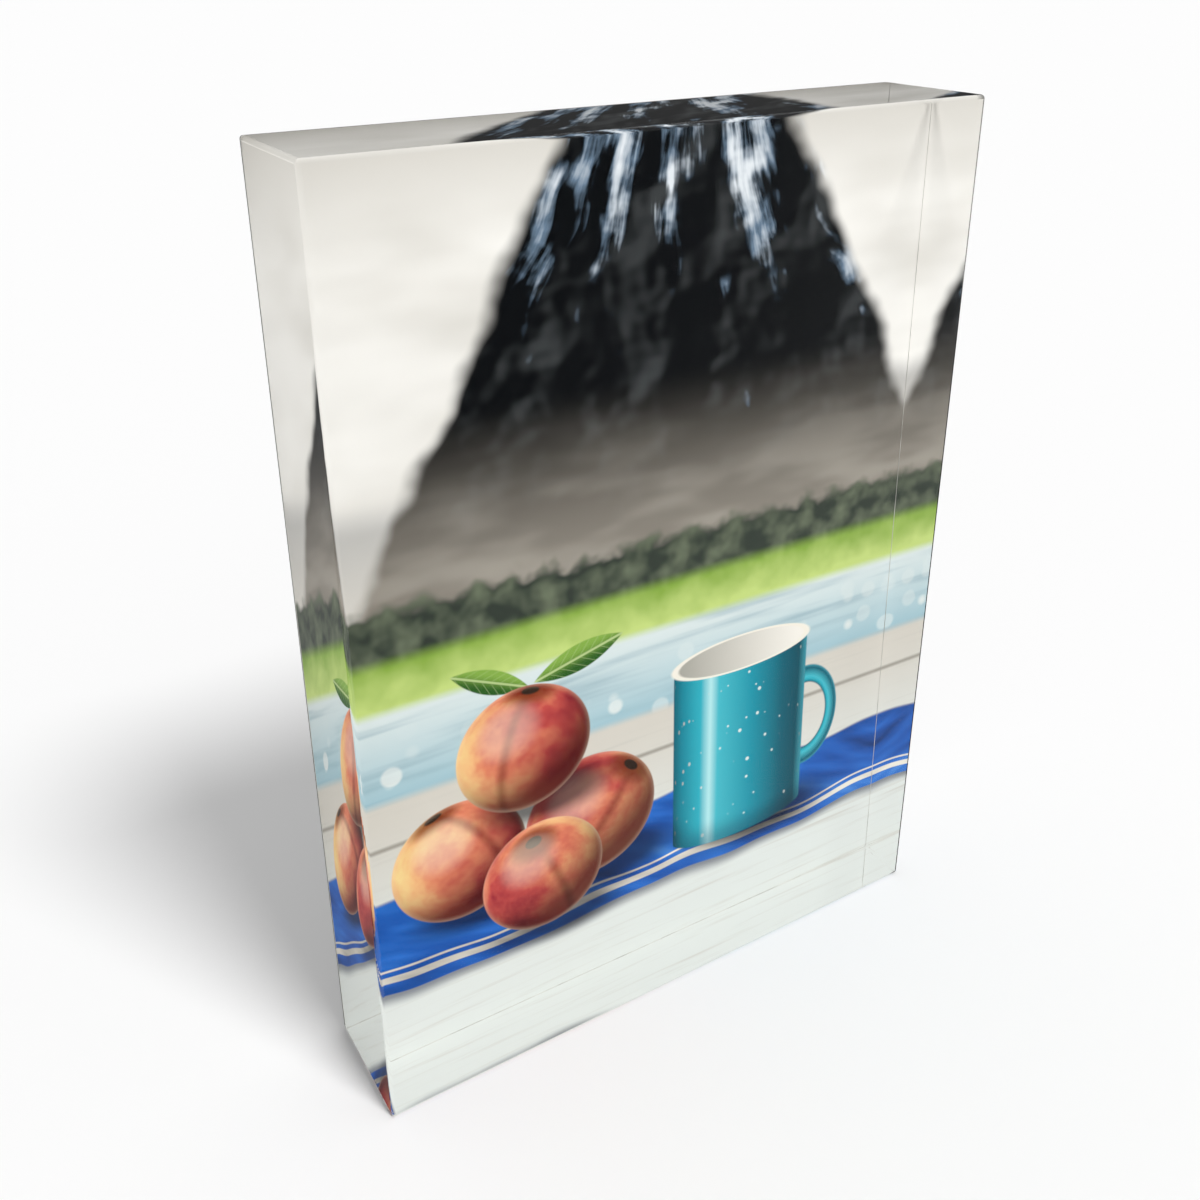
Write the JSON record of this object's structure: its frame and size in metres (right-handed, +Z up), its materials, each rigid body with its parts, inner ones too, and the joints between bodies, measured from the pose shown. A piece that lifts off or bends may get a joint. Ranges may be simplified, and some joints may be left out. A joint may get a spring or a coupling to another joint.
{
  "type": "acrylic block frame",
  "caption": "Free-standing clear acrylic block with a photo print bonded to its back, polished faces, eased edges, a thin backing panel and a flat base to stand on.",
  "frame": {"origin": "centre of the footprint, on the surface that the block stands on", "axes": "+Z up, along the block's height; +Y from the front face towards the backing panel; +X to the right as the picture is seen"},
  "size_m": [0.13, 0.026, 0.18],
  "materials": {
    "clear_acrylic": "polished",
    "clear_adhesive": "gloss",
    "photo_paper": "satin",
    "backing_adhesive": "satin",
    "backing_sheet": "matte"
  },
  "bodies": {
    "root": {"acrylic_block": "clear_acrylic", "mounting_film": "clear_adhesive", "photo_print": "photo_paper", "backing_film": "backing_adhesive", "backing_panel": "backing_sheet"}
  },
  "joints": []
}
